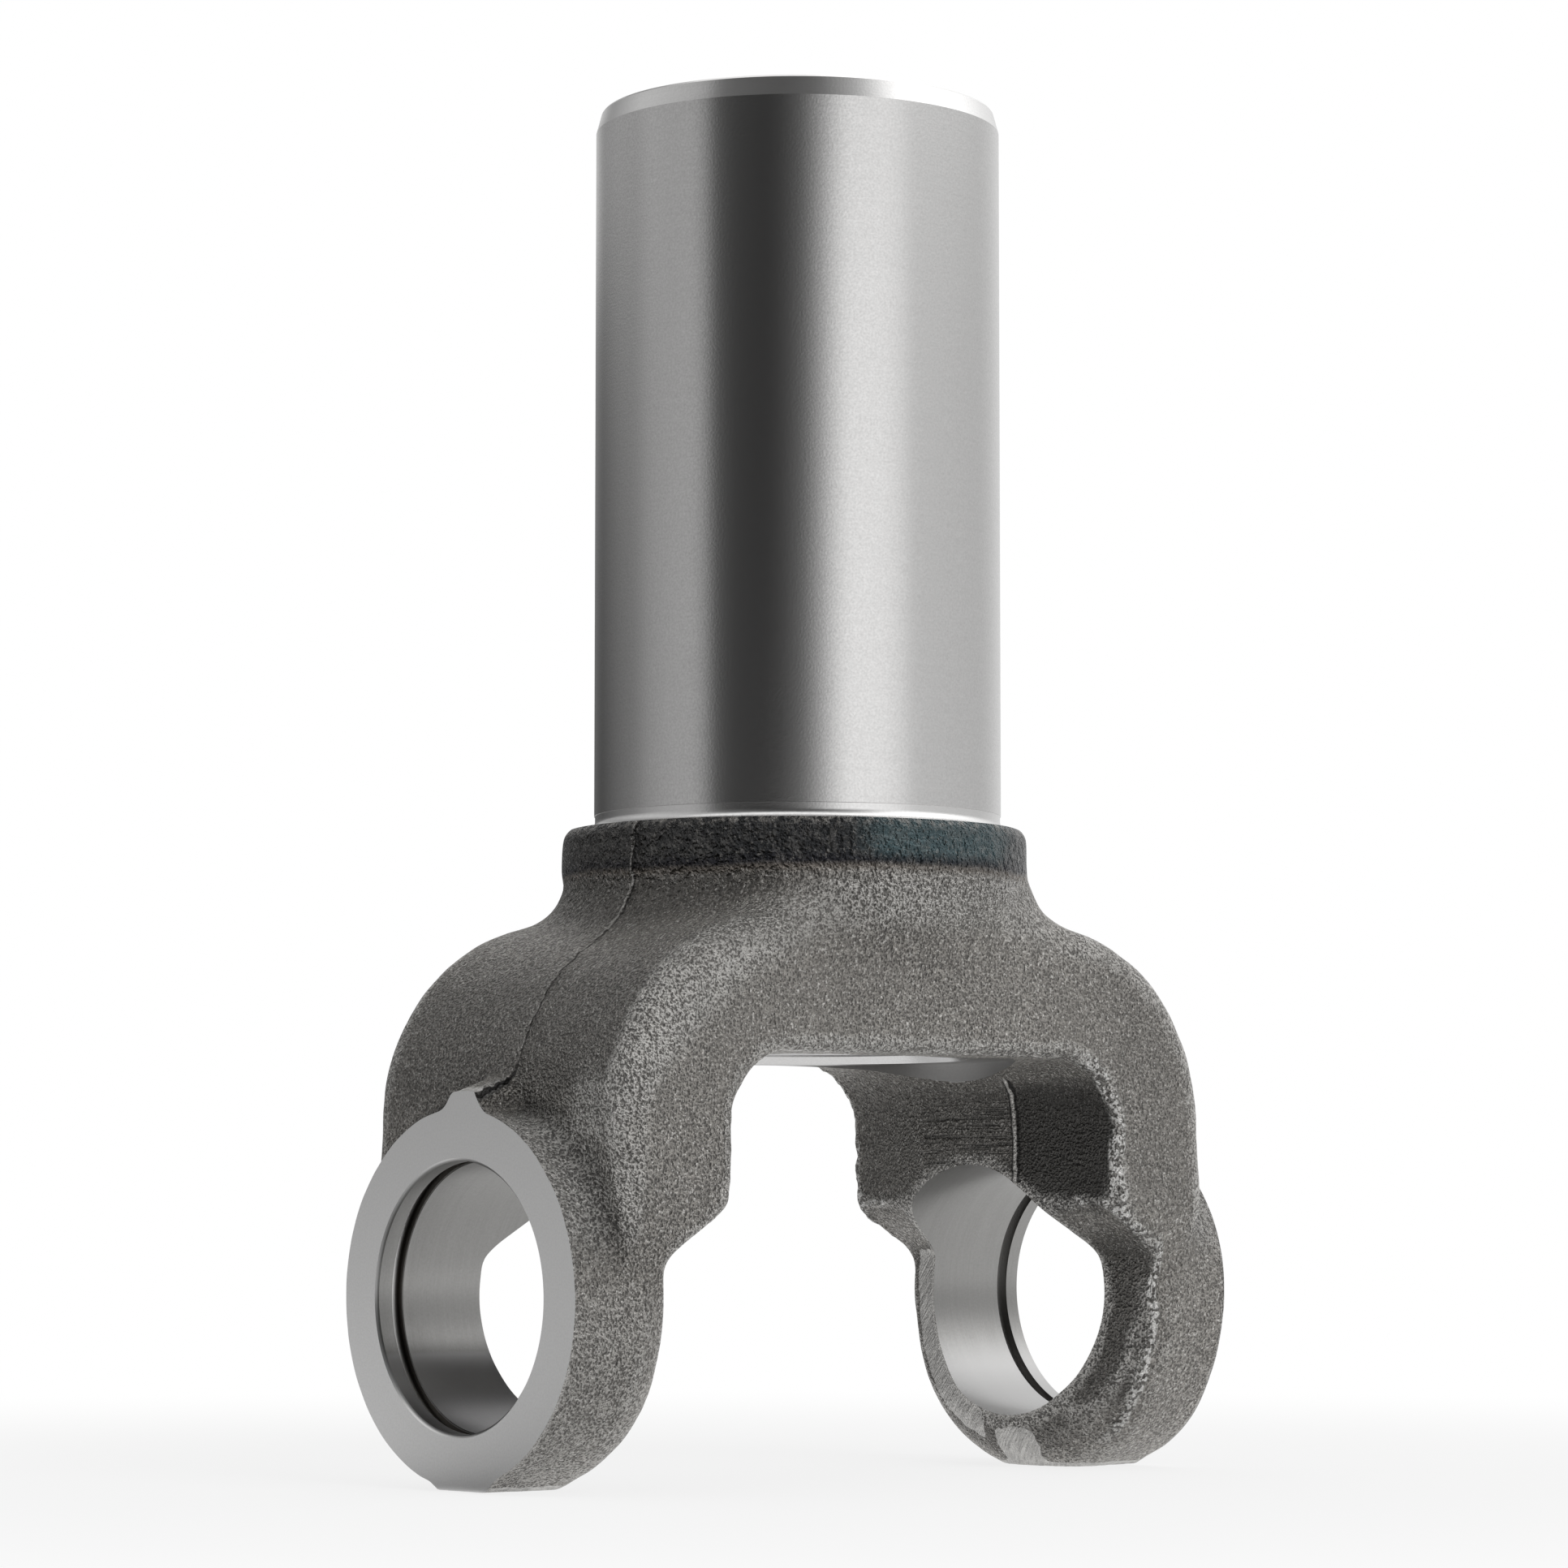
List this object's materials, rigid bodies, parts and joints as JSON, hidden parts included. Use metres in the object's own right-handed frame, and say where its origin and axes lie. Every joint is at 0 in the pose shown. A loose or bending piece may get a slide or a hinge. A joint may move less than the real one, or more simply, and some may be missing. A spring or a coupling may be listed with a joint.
{
  "type": "drive shaft slip yoke",
  "caption": "Forged fork whose two bored ears hold a joint cross, under a ground cylindrical barrel with an internal spline.",
  "frame": {"origin": "centre of the joint cross, midway between the ears on the cap bores' axis", "axes": "+X along the cap bores' axis, +Z along the barrel to its open end, the dies part on the plane y = 0"},
  "size_m": [0.0994, 0.0546, 0.1606],
  "materials": {
    "forged_steel": "shot-blasted forging skin on the fork and collar, satin ground barrel, milled ear faces, bored cap seats"
  },
  "bodies": {
    "root": {"yoke": "forged_steel"}
  },
  "joints": []
}
